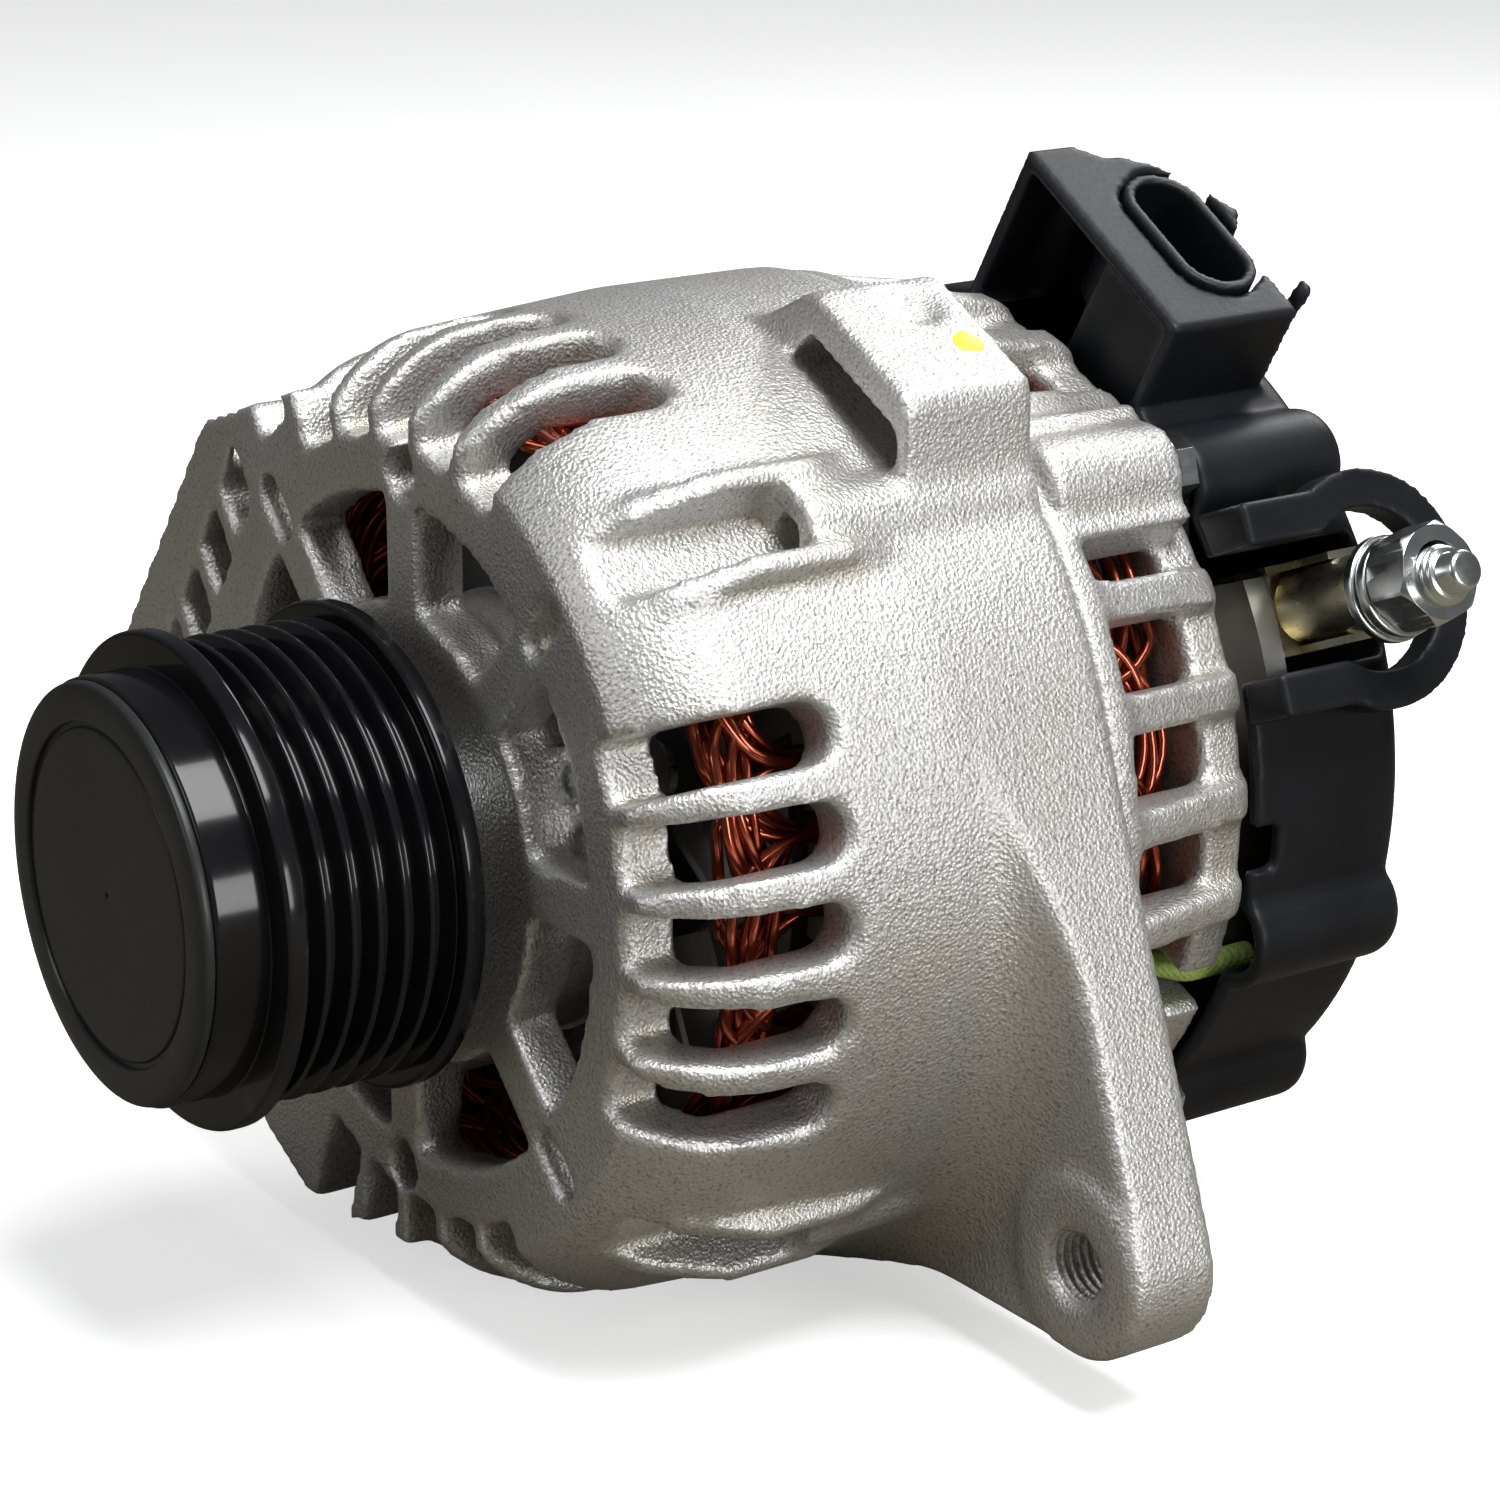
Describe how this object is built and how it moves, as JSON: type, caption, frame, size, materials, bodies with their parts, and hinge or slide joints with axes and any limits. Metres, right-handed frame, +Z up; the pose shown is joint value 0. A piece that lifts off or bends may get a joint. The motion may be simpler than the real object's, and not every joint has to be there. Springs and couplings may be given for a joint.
{
  "type": "car alternator",
  "caption": "Air-cooled car alternator with ribbed belt pulley, cast drive end bracket with two mounting ears, vented rear bracket, black rear cover, connector and output stud.",
  "frame": {"origin": "on the shaft's axis, in the middle plane of the belt grooves", "axes": "+Y along the shaft from the pulley towards the rear cover, +Z up, +X towards the threaded ear"},
  "size_m": [0.1814, 0.1663, 0.1446],
  "materials": {
    "cast_aluminium": "sand-textured casting, satin",
    "pulley_black": "gloss black coated steel",
    "cap_black": "satin black plastic",
    "bearing_steel": "polished bearing steel",
    "machined_steel": "turned steel",
    "pressed_steel": "pressed sheet steel",
    "zinc_plated_steel": "bright zinc plate",
    "yellow_zinc": "yellow zinc plate",
    "cage_plastic": "glass-filled nylon",
    "core_steel": "varnished laminations and forged poles",
    "enamelled_copper": "reddish-brown enamel over copper",
    "copper": "polished copper",
    "insulator_plastic": "brown phenolic",
    "graphite": "copper-graphite",
    "black_plastic": "satin black glass-filled nylon",
    "heat_sink_aluminium": "rolled aluminium",
    "diode_metal": "nickel-plated can",
    "pin_metal": "tin-plated brass",
    "lead_sleeve_green": "lime green woven sleeve"
  },
  "bodies": {
    "housing": {"drive_end_bracket": "cast_aluminium", "slip_ring_end_bracket": "cast_aluminium", "front_bearing_outer_race": "bearing_steel", "rear_bearing_outer_race": "bearing_steel", "bearing_retainer": "pressed_steel", "front_bearing_shields": "pressed_steel", "rear_bearing_shields": "pressed_steel", "front_brush_spring": "pressed_steel", "rear_brush_spring": "pressed_steel", "retainer_screws": "zinc_plated_steel", "through_bolts": "zinc_plated_steel", "rectifier_screws": "zinc_plated_steel", "cover_studs": "zinc_plated_steel", "cover_nuts": "zinc_plated_steel", "output_stud": "zinc_plated_steel", "output_nut": "zinc_plated_steel", "output_washers": "zinc_plated_steel", "output_spacer": "yellow_zinc", "terminal_bracket": "yellow_zinc", "stator_core": "core_steel", "stator_winding": "enamelled_copper", "rectifier_insulator": "insulator_plastic", "brush_holder": "insulator_plastic", "rear_cover": "black_plastic", "terminal_guard": "black_plastic", "connector_shell": "black_plastic", "regulator": "black_plastic", "negative_heat_sink": "heat_sink_aluminium", "positive_heat_sink": "heat_sink_aluminium", "regulator_heat_sink": "heat_sink_aluminium", "negative_diodes": "diode_metal", "positive_diodes": "diode_metal", "connector_pins": "pin_metal", "phase_leads": "lead_sleeve_green"},
    "rotor": {"rotor_shaft": "machined_steel", "front_claw_pole": "core_steel", "rear_claw_pole": "core_steel", "coil_bobbin": "insulator_plastic", "field_coil": "enamelled_copper", "front_fan": "pressed_steel", "rear_fan": "pressed_steel", "slip_rings": "copper", "slip_ring_insulator": "insulator_plastic", "front_bearing_inner_race": "bearing_steel", "rear_bearing_inner_race": "bearing_steel", "spacer_collar": "machined_steel", "pulley_hub": "machined_steel"},
    "pulley": {"pulley_ring": "pulley_black", "pulley_cap": "cap_black", "clutch_sleeve": "machined_steel", "clutch_rollers": "bearing_steel", "clutch_cage": "cage_plastic", "pulley_bushes": "cage_plastic"},
    "front_ball_set": {"front_bearing_balls": "bearing_steel", "front_bearing_cage": "cage_plastic"},
    "rear_ball_set": {"rear_bearing_balls": "bearing_steel", "rear_bearing_cage": "cage_plastic"},
    "front_brush": {"front_brush": "graphite"},
    "rear_brush": {"rear_brush": "graphite"}
  },
  "joints": [
    {"name": "rotor_spin", "type": "hinge", "parent": "housing", "child": "rotor", "pos_m": [0, 0.065, 0], "axis": [0, 1, 0], "continuous": true},
    {"name": "pulley_overrun", "type": "hinge", "parent": "rotor", "child": "pulley", "pos_m": [0, 0, 0], "axis": [0, 1, 0], "continuous": true},
    {"name": "front_ball_orbit", "type": "hinge", "parent": "housing", "child": "front_ball_set", "pos_m": [0, 0.0295, 0], "axis": [0, 1, 0], "continuous": true},
    {"name": "rear_ball_orbit", "type": "hinge", "parent": "housing", "child": "rear_ball_set", "pos_m": [0, 0.102, 0], "axis": [0, 1, 0], "continuous": true},
    {"name": "front_brush_slide", "type": "slide", "parent": "housing", "child": "front_brush", "axis": [0, 0, 1], "range_m": [0, 0.007], "stiffness_N_per_m": 150, "springref_m": -0.01, "deforming": ["front_brush_spring"]},
    {"name": "rear_brush_slide", "type": "slide", "parent": "housing", "child": "rear_brush", "axis": [0, 0, 1], "range_m": [0, 0.007], "stiffness_N_per_m": 150, "springref_m": -0.01, "deforming": ["rear_brush_spring"]}
  ],
  "couplings": [
    {"joint": "front_ball_orbit", "follows": "rotor_spin", "ratio": 0.378},
    {"joint": "rear_ball_orbit", "follows": "rotor_spin", "ratio": 0.384}
  ]
}
